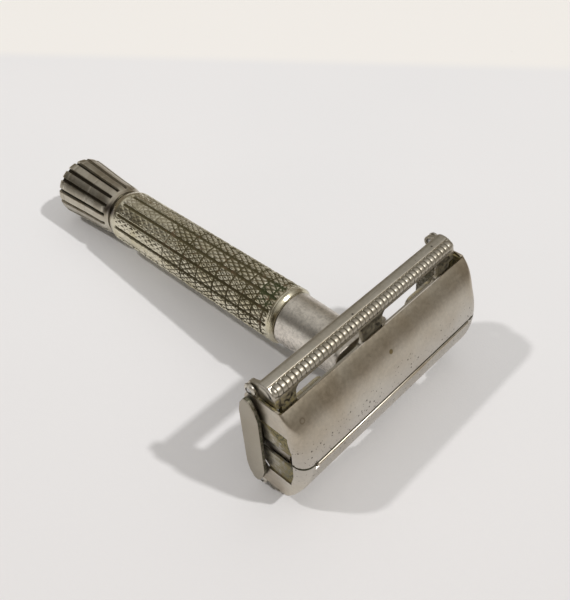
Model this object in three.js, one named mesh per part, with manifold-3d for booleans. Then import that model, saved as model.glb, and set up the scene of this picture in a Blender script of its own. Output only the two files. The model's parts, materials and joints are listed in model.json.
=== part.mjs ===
// Twist-to-open double-edge safety razor, closed and empty, lying on its side.
// It rests on the rim of its knob and on one long edge of its guard.
// The razor is drawn along its own axes and then tilted: u runs along the handle from the free end
// of the knob to the crown of the doors, v runs along the head, and w points up through the head.
// In the razor group u is X, v is Y and w is Z. All sizes are in millimetres.

import * as THREE from 'three';
import { mergeVertices } from 'three/addons/utils/BufferGeometryUtils.js';
import Module from 'manifold-3d';

const wasm = await Module();
wasm.setup();

// ---------------------------------------------------------------- driving dimensions

const GAP = 0.3; // clear space between pieces that nearly touch
const HEAD_REACH = { low: 70, high: 90, half: 30 }; // a space that holds the whole head, for cutters

// Knob
const RIBS = 16;
const RIB_PHASE = 1.5; // degrees from the top of the knob to one groove
const KNOB_LENGTH = 15.85;
const KNOB_RIM = { u: 0.65, radius: 6.2 };
const KNOB_PROFILE = [[0, 5.5], [0.65, 6.2], [3.5, 6.02], [7, 5.72], [11, 5.42], [14.2, 5.28], [15.1, 5.1]];
const KNOB_WAIST_RADIUS = 4.7;
const GROOVE_WIDTH = 0.72;
const GROOVE_FLOOR = { start: 5.2, end: 4.6, u: 14.8 };
const PLUG = { radius: 3.2, depth: 1.2, bevel: 0.25 };

// Handle
const BARREL = { start: 16.3, end: 62.9, radius: 5.4, waist: 4.76, bore: 3.9 };
const SHOULDER_LENGTH = 1.4;
const BARREL_LIP = { end: 17.1, bore: 2.6 };
const FLUTES = 13;
const FLUTE_PHASE = 22; // degrees from the top of the handle to one flute
const FLUTE = { start: 18.4, end: 61.5, width: 0.5, depth: 0.35 };
const NECK = { start: 63.1, end: 77.4, radius: 4.88, topRadius: 4.5, bore: 2.9 };
const NECK_SPIGOT = { start: 56, radius: 3.7 };
const FLANGE = { bottom: 77.5, top: 78.3, halfLength: 6.2, halfWidth: 6.3, corner: 1.8 };

// Screw, nut and rod
const SHANK = { start: 7, radius: 2.1 };
const COLLAR = { start: 17.3, end: 18.1, radius: 3.5 };
const THREAD = { end: 36, radius: 2.3 };
const RETAINER = { start: 18.3, end: 19.1, radius: 3.75 };
const NUT = { start: 23, end: 41, radius: 3.4 };
const ROD = { start: 38, end: 81.05, radius: 1.25, tipEnd: 82.9, tipRadius: 0.95 };
const ROD_HOLE = 1.6;

// Guard
const GUARD_HALF_LENGTH = 21.2;
const GUARD_LOW_POINT = { u: 78, w: 12.95 };
const GUARD_TOP = [[80.9, 0], [80.75, 4], [80.45, 8], [80.35, 10.6], [80.2, 11.4], [79.88, 12.2]];
const GUARD_NOSE = [[79.2, 12.75], [78.4, 12.95], [77.6, 12.95], [77.05, 12.75]];
const GUARD_INSIDE = [
  [77.1, 12.1],
  [77.9, 12.2],
  [78.6, 12.05],
  [79.2, 11.5],
  [79.45, 10.5],
  [79.6, 8],
  [79.9, 4],
];
const GUARD_MIDDLE_BOTTOM = 80;
const SLOT = { inner: 2.3, outer: 17, low: 7.1, high: 10.9, corner: 1.5 };
const SCALLOPS = 44;
const SCALLOP = { bottom: 79.15, crest: 12.75, root: 12.2, halfLength: 20.4 };
const END_NOTCH = { start: 20, halfWidth: 9.2 };
const END_WALL = {
  start: 20.3,
  lugRadius: 1.1,
  inner: [[80.1, 9.3], [77.6, 9.3]],
  outer: [[77.3, 12.6], [79.1, 12.4], [79.9, 11.6]],
};
const BOSS_RADIUS = 4.2;

// Doors
const CROWN_U = 86;
const DOOR_RADIUS = 14.7;
const DOOR_THICKNESS = 0.65;
const DOOR_HALF_LENGTH = 21.95;
const DOOR_END_RADIUS = 2.1;
const DOOR_EDGE_W = 10.25;
const DOOR_SEAM_W = 0.15;
const DOOR_SHELL_LOW = 81;
const EAR_THICKNESS = 0.5;
const PIVOT = { u: 76, w: 10.9 };
const KNUCKLE = { radius: 1.1, bore: 0.62, start: 21.3, end: 22.05 };
const HINGE_PIN = { radius: 0.5, start: 20.3, end: 22.1 };

const OPENING_ANGLE = THREE.MathUtils.degToRad(60);

// One ear in (u, w), from the crown around to the seam. The hinge is at its outer lobe.
const EAR_OUTLINE = [
  [83.4, 1.4],
  [83.4, 7],
  [82.6, 8.9],
  [82, DOOR_EDGE_W - 0.1],
  [77.3, 9.9],
  [76.9, PIVOT.w],
  [75.1, PIVOT.w],
  [74.75, 9.5],
  [75, 6.5],
  [75.9, 4.8],
  [77.6, 1.4],
];
const CAM_SLOT_END = 21.78; // the slots are blind: the ears are plain on the outside

// Lift bar
const LIFT_TRAVEL = 3;
const BAR = { bottom: 81.15, top: 82.25, halfWidth: 1.7, halfLength: 21.1 };
const ARM = { start: 20.4, bottom: 77.4, top: 79.3, halfWidth: 8.7 };
const DRIVE_PIN = { u: 78.4, w: 7.9, radius: 0.5, start: 20.5, end: 21.66 };
const CAM_RADIUS = 0.68;
const BLADE_LUG = { v: 9, radius: 1.3, top: 83.3 };

// End brackets
const END_PLATE = { inner: 22.25, outer: 23, centre: 76.2 };
const END_PLATE_TIP = [[-1.9, 6.4], [-1.5, 8.3], [-0.6, 9.8], [0.4, 9.8], [1.3, 8.2], [1.9, 6.2]];
const BRACKET_STEP = { halfWidth: 4.3, bottom: 74.5, thickness: 0.7, riser: 19.2 };
const FOOT = { start: 10.2, halfWidth: 6.6, bottom: 78.75, top: 79.4, corner: 1.6 };
const RIVETS_V = [12.6, 16.8];
const RIVET = { radius: 0.85, headRadius: 1.5, headBottom: 78, top: 80.8 };

// The razor leans on the knob's rim and on the lower edge of the guard.
const TILT = Math.atan2(GUARD_LOW_POINT.w - KNOB_RIM.radius, GUARD_LOW_POINT.u - KNOB_RIM.u);

// ---------------------------------------------------------------- materials

function metal(color, roughness) {
  return () => new THREE.MeshStandardMaterial({ color, roughness, metalness: 1 });
}

const satinNickel = metal(0x9c958a, 0.38);
const agedNickel = metal(0x8b8473, 0.45);
const brightNickel = metal(0xb5aea2, 0.25);
const brass = metal(0xa98d52, 0.4);
const steel = metal(0x77746e, 0.35);

// ---------------------------------------------------------------- solids

function toSolid(geometry) {
  geometry.deleteAttribute('normal');
  geometry.deleteAttribute('uv');
  const merged = mergeVertices(geometry, 1e-4);
  const corners = merged.index.array;
  const triangles = [];
  for (let i = 0; i < corners.length; i += 3) {
    const [a, b, c] = corners.slice(i, i + 3);
    if (a !== b && b !== c && c !== a) {
      triangles.push(a, b, c);
    }
  }
  return new wasm.Manifold(new wasm.Mesh({
    numProp: 3,
    vertProperties: merged.attributes.position.array,
    triVerts: new Uint32Array(triangles),
  }));
}

function toGeometry(solid) {
  const { vertProperties, triVerts } = solid.getMesh();
  const geometry = new THREE.BufferGeometry();
  geometry.setAttribute('position', new THREE.BufferAttribute(vertProperties, 3));
  geometry.setIndex(new THREE.BufferAttribute(triVerts, 1));
  geometry.computeVertexNormals();
  return geometry;
}

function moved(solid, v, w = 0) {
  return toSolid(toGeometry(solid).translate(0, v, w));
}

function joined(solids) {
  return solids.reduce((whole, piece) => whole.add(piece));
}

function outlineOf(points) {
  return new THREE.Shape(points.map(([x, y]) => new THREE.Vector2(x, y)));
}

function extruded(shape, depth, curveSegments = 6) {
  return new THREE.ExtrudeGeometry(shape, { depth, bevelEnabled: false, curveSegments });
}

// A (u, w) outline given thickness along v.
function alongV(shape, from, to, curveSegments) {
  return toSolid(extruded(shape, to - from, curveSegments).rotateX(Math.PI / 2).translate(0, to, 0));
}

// A (v, w) outline given thickness along u.
function alongU(shape, from, to, curveSegments) {
  const axes = new THREE.Matrix4().makeBasis(
    new THREE.Vector3(0, 1, 0),
    new THREE.Vector3(0, 0, 1),
    new THREE.Vector3(1, 0, 0),
  );
  return toSolid(extruded(shape, to - from, curveSegments).applyMatrix4(axes).translate(from, 0, 0));
}

// A (u, v) outline given thickness along w.
function alongW(shape, from, to, curveSegments) {
  return toSolid(extruded(shape, to - from, curveSegments).translate(0, 0, from));
}

// A block between two opposite corners.
function block(low, high) {
  const size = high.map((value, axis) => value - low[axis]);
  const centre = high.map((value, axis) => (value + low[axis]) / 2);
  return toSolid(new THREE.BoxGeometry(...size).translate(...centre));
}

// A turned piece on the handle's axis, from (u, radius) points.
function turned(profile, segments = 48) {
  const points = profile.map(([u, radius]) => new THREE.Vector2(radius, u));
  return toSolid(new THREE.LatheGeometry(points, segments).rotateZ(-Math.PI / 2));
}

// A solid rod on the handle's axis, or one moved aside by v and w.
function roundBar(from, to, radius, segments = 24, v = 0, w = 0) {
  const bar = new THREE.CylinderGeometry(radius, radius, to - from, segments);
  return toSolid(bar.rotateZ(-Math.PI / 2).translate((from + to) / 2, v, w));
}

// A solid pin parallel to the head at (u, w).
function crossPin(from, to, u, w, radius, segments = 20) {
  const pin = new THREE.CylinderGeometry(radius, radius, to - from, segments);
  return toSolid(pin.translate(u, (from + to) / 2, w));
}

function mirroredRange(side, from, to) {
  return side > 0 ? [from, to] : [-to, -from];
}

// A rectangle with rounded corners, centred on the origin.
function roundedRectangle(halfX, halfY, corner) {
  const shape = new THREE.Shape();
  shape.moveTo(halfX, corner - halfY);
  shape.lineTo(halfX, halfY - corner);
  shape.absarc(halfX - corner, halfY - corner, corner, 0, Math.PI / 2);
  shape.absarc(corner - halfX, halfY - corner, corner, Math.PI / 2, Math.PI);
  shape.absarc(corner - halfX, corner - halfY, corner, Math.PI, 1.5 * Math.PI);
  shape.absarc(halfX - corner, corner - halfY, corner, 1.5 * Math.PI, 2 * Math.PI);
  return shape;
}

// ---------------------------------------------------------------- knob

function twistKnob() {
  const outer = turned([[0, 0], ...KNOB_PROFILE, [KNOB_LENGTH, KNOB_WAIST_RADIUS], [KNOB_LENGTH, 0]], 48);
  const lean = Math.atan2(GROOVE_FLOOR.start - GROOVE_FLOOR.end, GROOVE_FLOOR.u);
  const length = GROOVE_FLOOR.u + 2;
  let knob = outer;
  for (let rib = 0; rib < RIBS; rib += 1) {
    const groove = new THREE.BoxGeometry(length, GROOVE_WIDTH, 3);
    groove.translate(length / 2 - 2, 0, 1.5);
    groove.rotateY(lean);
    groove.translate(0, 0, GROOVE_FLOOR.start);
    groove.rotateX(THREE.MathUtils.degToRad(RIB_PHASE + (rib * 360) / RIBS));
    knob = knob.subtract(toSolid(groove));
  }
  const shankHole = roundBar(SHANK.start - GAP, KNOB_LENGTH + 1, SHANK.radius + 0.1);
  const plugHole = roundBar(-1, PLUG.depth + 0.1, PLUG.radius);
  return knob.subtract(shankHole).subtract(plugHole);
}

function endPlug() {
  const radius = PLUG.radius - 0.1;
  const { depth, bevel } = PLUG;
  return turned([[0, 0], [0, radius - bevel], [bevel, radius], [depth, radius], [depth, 0]], 32);
}

function driveScrew() {
  return turned([
    [SHANK.start, 0],
    [SHANK.start, SHANK.radius],
    [COLLAR.start, SHANK.radius],
    [COLLAR.start, COLLAR.radius],
    [COLLAR.end, COLLAR.radius],
    [COLLAR.end, THREAD.radius],
    [THREAD.end - 0.6, THREAD.radius],
    [THREAD.end, THREAD.radius - 0.6],
    [THREAD.end, 0],
  ], 24);
}

function ring(start, end, inner, outer, segments = 32) {
  return turned([[start, inner], [start, outer], [end, outer], [end, inner], [start, inner]], segments);
}

// ---------------------------------------------------------------- handle

function handleBarrel() {
  const { start, end, radius, waist, bore } = BARREL;
  const tube = turned([
    [start, BARREL_LIP.bore],
    [start, waist - 0.3],
    [start + 0.3, waist],
    [start + 0.3 + SHOULDER_LENGTH, radius],
    [end - 0.6, radius],
    [end, radius - 0.5],
    [end, bore],
    [BARREL_LIP.end, bore],
    [BARREL_LIP.end, BARREL_LIP.bore],
    [start, BARREL_LIP.bore],
  ], 48);
  let fluted = tube;
  for (let flute = 0; flute < FLUTES; flute += 1) {
    const cutter = new THREE.BoxGeometry(FLUTE.end - FLUTE.start, FLUTE.width, 2 * FLUTE.depth);
    cutter.translate((FLUTE.start + FLUTE.end) / 2, 0, radius);
    cutter.rotateX(THREE.MathUtils.degToRad(FLUTE_PHASE + (flute * 360) / FLUTES));
    fluted = fluted.subtract(toSolid(cutter));
  }
  return fluted;
}

function neckTube() {
  const { start, end, radius, topRadius, bore } = NECK;
  return turned([
    [NECK_SPIGOT.start, bore],
    [NECK_SPIGOT.start, NECK_SPIGOT.radius],
    [start, NECK_SPIGOT.radius],
    [start, radius],
    [end, topRadius],
    [end, bore],
    [NECK_SPIGOT.start, bore],
  ], 48);
}

function neckFlange() {
  const outline = roundedRectangle(FLANGE.halfLength, FLANGE.halfWidth, FLANGE.corner);
  const plate = alongU(outline, FLANGE.bottom, FLANGE.top, 5);
  return plate.subtract(roundBar(FLANGE.bottom - 1, FLANGE.top + 1, ROD_HOLE));
}

// ---------------------------------------------------------------- lifting gear

function liftNut() {
  const bore = THREAD.radius + 0.15;
  const floor = NUT.end - 4;
  return turned([
    [NUT.start, bore],
    [NUT.start, NUT.radius],
    [NUT.end, NUT.radius],
    [NUT.end, ROD.radius + 0.1],
    [floor, ROD.radius + 0.1],
    [floor, bore],
    [NUT.start, bore],
  ], 32);
}

function liftRod() {
  return turned([
    [ROD.start, 0],
    [ROD.start, ROD.radius],
    [ROD.end, ROD.radius],
    [ROD.end, ROD.tipRadius],
    [ROD.tipEnd, ROD.tipRadius],
    [ROD.tipEnd, 0],
  ], 24);
}

function liftBar() {
  const { bottom, top, halfWidth, halfLength } = BAR;
  const pieces = [block([bottom, -halfLength, -halfWidth], [top, halfLength, halfWidth])];
  const anchor = outlineOf([
    [bottom + 0.4, halfWidth],
    [ARM.top, halfWidth + 0.8],
    [ARM.top, ARM.halfWidth - 0.6],
    [ARM.top - 0.6, ARM.halfWidth],
    [ARM.bottom, ARM.halfWidth],
    [ARM.bottom, -ARM.halfWidth],
    [ARM.top - 0.6, -ARM.halfWidth],
    [ARM.top, 0.6 - ARM.halfWidth],
    [ARM.top, -halfWidth - 0.8],
    [bottom + 0.4, -halfWidth],
  ]);
  for (const side of [-1, 1]) {
    pieces.push(alongV(anchor, ...mirroredRange(side, ARM.start, halfLength)));
    pieces.push(roundBar(bottom + 0.5, BLADE_LUG.top, BLADE_LUG.radius, 20, side * BLADE_LUG.v));
  }
  let bar = joined(pieces).subtract(roundBar(bottom - 1, top + 1, ROD.tipRadius + 0.1));
  for (const side of [-1, 1]) {
    for (const half of [-1, 1]) {
      const range = mirroredRange(side, ARM.start - 1, halfLength + 1);
      bar = bar.subtract(crossPin(...range, DRIVE_PIN.u, half * DRIVE_PIN.w, DRIVE_PIN.radius + 0.08));
    }
  }
  return bar;
}

function rodHead() {
  const bottom = BAR.top + 0.1;
  const bore = ROD.tipRadius + 0.1;
  return turned([
    [bottom, bore],
    [bottom, 2],
    [bottom + 0.5, 2],
    [bottom + 1.05, 1.2],
    [bottom + 1.2, 0],
    [ROD.tipEnd + 0.1, 0],
    [ROD.tipEnd + 0.1, bore],
    [bottom, bore],
  ], 24);
}

// ---------------------------------------------------------------- guard

function guardPlate() {
  const upper = [...GUARD_TOP, ...GUARD_NOSE, ...GUARD_INSIDE, [GUARD_MIDDLE_BOTTOM, 0]];
  const lower = upper.slice(1, -1).map(([u, w]) => [u, -w]).reverse();
  let guard = alongV(outlineOf([...upper, ...lower]), -GUARD_HALF_LENGTH, GUARD_HALF_LENGTH);
  guard = guard.add(roundBar(FLANGE.top + 0.1, GUARD_TOP[0][0] - 0.3, BOSS_RADIUS, 32));
  guard = guard.subtract(roundBar(FLANGE.top - 1, GUARD_TOP[0][0] + 1, ROD_HOLE));

  const slot = roundedRectangle((SLOT.outer - SLOT.inner) / 2, (SLOT.high - SLOT.low) / 2, SLOT.corner);
  const slotCutter = alongU(slot, FLANGE.bottom, CROWN_U, 4);
  for (const side of [-1, 1]) {
    for (const half of [-1, 1]) {
      const v = (side * (SLOT.inner + SLOT.outer)) / 2;
      const w = (half * (SLOT.low + SLOT.high)) / 2;
      guard = guard.subtract(moved(slotCutter, v, w));
    }
    guard = guard.subtract(alongU(scallopComb(side), SCALLOP.bottom, CROWN_U, 1));
    const [from, to] = mirroredRange(side, END_NOTCH.start, GUARD_HALF_LENGTH + 1);
    const { low, high } = HEAD_REACH;
    guard = guard.subtract(block([low, from, -END_NOTCH.halfWidth], [high, to, END_NOTCH.halfWidth]));
    for (const half of [-1, 1]) {
      guard = guard.add(endWall(side, half));
    }
  }
  for (const { v } of rivetPlaces()) {
    guard = guard.subtract(roundBar(HEAD_REACH.low, HEAD_REACH.high, RIVET.radius + 0.1, 16, v));
  }
  return guard;
}

// The waste cut from one rail to leave a row of small teeth: a strip with a zigzag inner edge.
function scallopComb(side) {
  const pitch = (2 * SCALLOP.halfLength) / SCALLOPS;
  const beyond = GUARD_HALF_LENGTH + 1;
  const points = [[beyond, 14], [-beyond, 14], [-beyond, SCALLOP.crest]];
  for (let tooth = 0; tooth <= SCALLOPS; tooth += 1) {
    const v = tooth * pitch - SCALLOP.halfLength;
    points.push([v, SCALLOP.root]);
    if (tooth < SCALLOPS) {
      points.push([v + pitch / 2, SCALLOP.crest]);
    }
  }
  points.push([beyond, SCALLOP.crest]);
  return outlineOf(points.map(([v, w]) => [v, side * w]));
}

// The wall that closes one end of a rail, with the rounded lug that carries a hinge pin.
function endWall(side, half) {
  const { start, lugRadius, inner, outer } = END_WALL;
  const outline = new THREE.Shape();
  outline.moveTo(inner[0][0], half * inner[0][1]);
  outline.lineTo(inner[1][0], half * inner[1][1]);
  outline.lineTo(PIVOT.u, half * (PIVOT.w - lugRadius));
  const turn = half > 0 ? [-Math.PI / 2, Math.PI / 2, true] : [Math.PI / 2, -Math.PI / 2, false];
  outline.absarc(PIVOT.u, half * PIVOT.w, lugRadius, ...turn);
  for (const [u, w] of outer) {
    outline.lineTo(u, half * w);
  }
  const wall = alongV(outline, ...mirroredRange(side, start, GUARD_HALF_LENGTH), 8);
  const bore = crossPin(...mirroredRange(side, 18, 24), PIVOT.u, half * PIVOT.w, HINGE_PIN.radius + 0.08);
  return wall.subtract(bore);
}

// ---------------------------------------------------------------- end brackets and fasteners

function endBracket(side) {
  const lowerTip = END_PLATE_TIP.map(([u, w]) => [u, -w]).reverse();
  const outline = outlineOf([...END_PLATE_TIP, ...lowerTip].map(([u, w]) => [u + END_PLATE.centre, w]));
  const { halfWidth, bottom, thickness, riser } = BRACKET_STEP;
  const span = (from, to) => mirroredRange(side, from, to);
  const slab = (low, high, [from, to], width) => block([low, from, -width], [high, to, width]);
  let bracket = joined([
    alongV(outline, ...span(END_PLATE.inner, END_PLATE.outer)),
    slab(bottom, bottom + thickness, span(riser, END_PLATE.inner + 0.1), halfWidth),
    slab(bottom, FOOT.top, span(riser, riser + thickness), halfWidth),
  ]);
  const footLength = riser + thickness - FOOT.start;
  const foot = roundedRectangle(footLength / 2, FOOT.halfWidth, FOOT.corner);
  const footSolid = alongU(foot, FOOT.bottom, FOOT.top, 4);
  const place = side * (FOOT.start + footLength / 2);
  bracket = bracket.add(moved(footSolid, place));
  for (const { v } of rivetPlaces()) {
    bracket = bracket.subtract(roundBar(HEAD_REACH.low, HEAD_REACH.high, RIVET.radius + 0.1, 16, v));
  }
  return bracket;
}

function rivetPlaces() {
  return [-1, 1].flatMap((side) => RIVETS_V.map((v, index) => ({ side, index, v: side * v })));
}

function endRivet(v) {
  const { radius, headRadius, headBottom, top } = RIVET;
  const profile = [
    [headBottom, 0],
    [headBottom + 0.12, 0.9],
    [headBottom + 0.4, headRadius],
    [FOOT.bottom - 0.1, headRadius],
    [FOOT.bottom - 0.1, radius],
    [top, radius],
    [top, 0],
  ];
  return moved(turned(profile, 16), v);
}

// ---------------------------------------------------------------- doors

// The space under the crown: an arc in (u, w) whose ends are rounded over in (u, v).
function domeSolid(half, inset) {
  const radius = DOOR_RADIUS - inset;
  const centre = CROWN_U - DOOR_RADIUS;
  const reach = Math.asin(Math.min(1, (DOOR_EDGE_W + 0.5) / radius));
  const steps = 10;
  const section = [[centre, 0]];
  for (let step = 0; step <= steps; step += 1) {
    const angle = (reach * step) / steps;
    section.push([centre + radius * Math.cos(angle), half * radius * Math.sin(angle)]);
  }
  const length = DOOR_HALF_LENGTH - (inset * EAR_THICKNESS) / DOOR_THICKNESS;
  const round = DOOR_END_RADIUS - inset / 2;
  const top = CROWN_U - inset;
  const ends = new THREE.Shape();
  ends.moveTo(centre, -length);
  ends.lineTo(top - round, -length);
  ends.absarc(top - round, round - length, round, -Math.PI / 2, 0);
  ends.absarc(top - round, length - round, round, 0, Math.PI / 2);
  ends.lineTo(centre, length);
  const across = mirroredRange(half, 0, DOOR_EDGE_W + 2);
  return alongV(outlineOf(section), -length, length).intersect(alongW(ends, ...across, 5));
}

function doorShell(half) {
  const inner = domeSolid(half, DOOR_THICKNESS);
  const across = mirroredRange(half, DOOR_SEAM_W, DOOR_EDGE_W);
  const shell = domeSolid(half, 0).subtract(inner);
  const { high, half: reach } = HEAD_REACH;
  return shell.intersect(block([DOOR_SHELL_LOW, -reach, across[0]], [high, reach, across[1]]));
}

// One ear: the flat end of a door that reaches down past the guard to the hinge.
function doorEar(side, half) {
  const outline = outlineOf(EAR_OUTLINE.map(([u, w]) => [u, half * w]));
  const ear = alongV(outline, ...mirroredRange(side, DOOR_HALF_LENGTH - EAR_THICKNESS, DOOR_HALF_LENGTH));
  const knuckleRange = mirroredRange(side, KNUCKLE.start, KNUCKLE.end);
  const knuckle = crossPin(...knuckleRange, PIVOT.u, half * PIVOT.w, KNUCKLE.radius, 28);
  const bore = crossPin(...mirroredRange(side, 19, 24), PIVOT.u, half * PIVOT.w, KNUCKLE.bore, 24);
  return ear.add(knuckle).subtract(bore).subtract(camSlot(side, half));
}

// The slot swept in the ear by one drive pin as the bar rises and the door turns in step with it.
function camSlot(side, half) {
  const steps = 8;
  const places = [];
  for (let step = 0; step <= steps; step += 1) {
    const share = step / steps;
    const turn = share * OPENING_ANGLE;
    const u = DRIVE_PIN.u + share * LIFT_TRAVEL - PIVOT.u;
    const w = DRIVE_PIN.w - PIVOT.w;
    places.push({
      u: PIVOT.u + u * Math.cos(turn) + w * Math.sin(turn),
      w: PIVOT.w - u * Math.sin(turn) + w * Math.cos(turn),
    });
  }
  const range = mirroredRange(side, 20, CAM_SLOT_END);
  const stops = places.map(({ u, w }) => crossPin(...range, u, half * w, CAM_RADIUS, 16));
  const links = places.slice(1).map((place, index) => slotLink(places[index], place, half, range));
  return joined([...stops, ...links]);
}

// The straight stretch of the slot between two neighbouring places.
function slotLink(start, end, half, range) {
  const length = Math.hypot(end.u - start.u, end.w - start.w);
  const acrossU = (-(end.w - start.w) / length) * CAM_RADIUS * 0.99;
  const acrossW = ((end.u - start.u) / length) * CAM_RADIUS * 0.99;
  return alongV(outlineOf([
    [start.u + acrossU, half * (start.w + acrossW)],
    [end.u + acrossU, half * (end.w + acrossW)],
    [end.u - acrossU, half * (end.w - acrossW)],
    [start.u - acrossU, half * (start.w - acrossW)],
  ]), ...range);
}

function door(half) {
  return joined([doorShell(half), doorEar(-1, half), doorEar(1, half)]);
}

// ---------------------------------------------------------------- assembly

const razor = new THREE.Group();

function place(name, solid, material) {
  const mesh = new THREE.Mesh(toGeometry(solid), material());
  mesh.name = name;
  razor.add(mesh);
}

place('twist_knob', twistKnob(), satinNickel);
place('knob_end_plug', endPlug(), agedNickel);
place('drive_screw', driveScrew(), brass);
place('thrust_washer', ring(KNOB_LENGTH + 0.1, BARREL.start - 0.1, SHANK.radius + 0.2, 4.3), steel);
place('handle_barrel', handleBarrel(), agedNickel);
place('retaining_ring', ring(RETAINER.start, RETAINER.end, THREAD.radius + 0.3, RETAINER.radius), steel);
place('neck_tube', neckTube(), satinNickel);
place('neck_flange', neckFlange(), satinNickel);
place('guard_plate', guardPlate(), satinNickel);
place('lift_nut', liftNut(), brass);
place('lift_rod', liftRod(), steel);
place('lift_bar', liftBar(), satinNickel);
place('rod_head', rodHead(), brightNickel);
place('door_upper', door(1), satinNickel);
place('door_lower', door(-1), satinNickel);

for (const [side, end] of [[-1, 'near'], [1, 'far']]) {
  place(`end_bracket_${end}`, endBracket(side), satinNickel);
  for (const [half, level] of [[1, 'upper'], [-1, 'lower']]) {
    const hingeSpan = mirroredRange(side, HINGE_PIN.start, HINGE_PIN.end);
    const hingePin = crossPin(...hingeSpan, PIVOT.u, half * PIVOT.w, HINGE_PIN.radius);
    place(`hinge_pin_${level}_${end}`, hingePin, brightNickel);
    const driveSpan = mirroredRange(side, DRIVE_PIN.start, DRIVE_PIN.end);
    const drivePin = crossPin(...driveSpan, DRIVE_PIN.u, half * DRIVE_PIN.w, DRIVE_PIN.radius, 16);
    place(`drive_pin_${level}_${end}`, drivePin, steel);
  }
}

for (const { side, index, v } of rivetPlaces()) {
  place(`end_rivet_${side < 0 ? 'near' : 'far'}_${index + 1}`, endRivet(v), brightNickel);
}

// Lay the razor down, then put the middle of its footprint at the origin.
razor.rotation.y = -TILT;
const model = new THREE.Group();
model.add(razor);
model.updateMatrixWorld(true);
const extent = new THREE.Box3().setFromObject(model, true);
const middle = extent.getCenter(new THREE.Vector3());
razor.position.set(-middle.x, -middle.y, -extent.min.z);
model.updateMatrixWorld(true);

export default model;
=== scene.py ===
"""Looks for a twist-to-open double-edge safety razor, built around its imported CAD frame.

Every piece is drawn along the razor's own axes, in millimetres, and then placed in the frame: u runs
along the handle from the free end of the knob to the crown of the doors, v runs along the head, and w
points up through the head. Near is the end at negative v, far is the end at positive v.
"""

import json
import math

import bmesh
import bpy
import numpy as np
from mathutils import Matrix, Vector, noise


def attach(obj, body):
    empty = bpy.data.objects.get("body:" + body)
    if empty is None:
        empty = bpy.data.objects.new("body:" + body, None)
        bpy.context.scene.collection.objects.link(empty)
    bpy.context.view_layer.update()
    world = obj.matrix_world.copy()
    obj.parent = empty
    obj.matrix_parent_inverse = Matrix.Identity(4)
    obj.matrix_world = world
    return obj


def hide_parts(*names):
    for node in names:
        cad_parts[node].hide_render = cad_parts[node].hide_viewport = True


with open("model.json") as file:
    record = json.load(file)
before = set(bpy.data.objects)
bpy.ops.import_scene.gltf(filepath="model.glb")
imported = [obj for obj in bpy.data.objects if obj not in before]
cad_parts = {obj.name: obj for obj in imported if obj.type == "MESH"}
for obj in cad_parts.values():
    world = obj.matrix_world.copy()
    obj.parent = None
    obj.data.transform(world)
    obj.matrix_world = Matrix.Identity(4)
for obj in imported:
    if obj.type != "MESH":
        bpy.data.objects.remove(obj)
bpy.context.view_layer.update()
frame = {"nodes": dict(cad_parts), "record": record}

MM = 0.001
ENDS = {"near": -1, "far": 1}
LEVELS = {"upper": 1, "lower": -1}

# ------------------------------------------------------------------ the razor's axes in the frame

KNOB_END = frame["record"]["mounts"][0]
ORIGIN = Vector(KNOB_END["pos_m"])
U_AXIS = -Vector(KNOB_END["axis"]).normalized()
V_AXIS = Vector((0, 1, 0))
W_AXIS = U_AXIS.cross(V_AXIS)
BASIS = np.array([U_AXIS, V_AXIS, W_AXIS]) * MM


def placed(points):
    """Razor millimetres to frame metres."""
    return np.asarray(points, float) @ BASIS + np.array(ORIGIN)


# ------------------------------------------------------------------ sizes, in millimetres

# Knob
RIBS = 16
RIB_PHASE = 1.5
KNOB_LENGTH = 15.85
KNOB_PROFILE = [(0.0, 5.3), (0.12, 5.62), (0.35, 5.9), (0.7, 6.1), (1.2, 6.19), (3.5, 6.02), (7.0, 5.72),
                (11.0, 5.42), (13.9, 5.3), (14.5, 5.2), (15.0, 5.02), (15.3, 4.85), (KNOB_LENGTH, 4.7)]
KNOB_FACE_RADIUS = 3.2
KNOB_BORE = 2.2
GROOVE_HALF_WIDTH = 0.31
GROOVE_FLOOR = (5.2, 4.55)
GROOVE_END = 14.9
TURNED_LINES = (2.2, 8.95)

# Handle
BARREL_START, BARREL_END = 16.3, 62.9
BARREL_RADIUS = 5.4
BARREL_BORE = 3.9
KNURL_START, KNURL_END = 18.5, 61.5
KNURL_AROUND = 32
KNURL_PITCH = 1.85
COLUMNS_PER_DIAMOND = 10
KNURL_ROW = 0.16
KNURL_DEPTH = 0.16
FLUTES = 13
FLUTE_PHASE = 22
FLUTE_HALF_WIDTH = 0.36
FLUTE_DEPTH = 0.34
KNURL_RINGS = (23.2, 28.25, 33.65, 38.85, 43.25, 47.7, 51.45, 54.7, 57.65, 60.15)
NECK_START, NECK_END = 63.1, 77.4
NECK_RADIUS, NECK_TOP_RADIUS, NECK_BORE = 4.88, 4.5, 2.9
FLANGE_LOW, FLANGE_HIGH = 77.5, 78.3
FLANGE_HALF_LENGTH, FLANGE_HALF_WIDTH, FLANGE_CORNER = 6.2, 6.3, 1.8

# Guard
GUARD_HALF_LENGTH = 21.2
GUARD_TOP = [(80.9, 0.0), (80.75, 4.0), (80.45, 8.0), (80.35, 10.6), (80.25, 11.2)]
GUARD_BOTTOM = [(80.0, 0.0), (79.9, 4.0), (79.6, 8.0), (79.45, 10.5), (79.35, 11.2)]
RAIL_OUTSIDE = [(80.3, 10.95), (80.2, 11.4), (79.88, 12.2), (79.2, 12.74), (79.02, 12.84),
                (78.93, 12.7), (78.84, 12.88), (78.4, 12.95), (77.6, 12.94), (77.15, 12.78)]
RAIL_INSIDE = [(77.1, 12.42), (77.9, 12.3), (78.6, 12.05), (79.2, 11.5), (79.42, 10.95)]
SLOT_INNER, SLOT_OUTER, SLOT_LOW, SLOT_HIGH, SLOT_CORNER = 2.3, 17.0, 7.1, 10.9, 1.5
NOTCH_START, NOTCH_HALF_WIDTH = 20.0, 9.2
BEADS = 44
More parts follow.
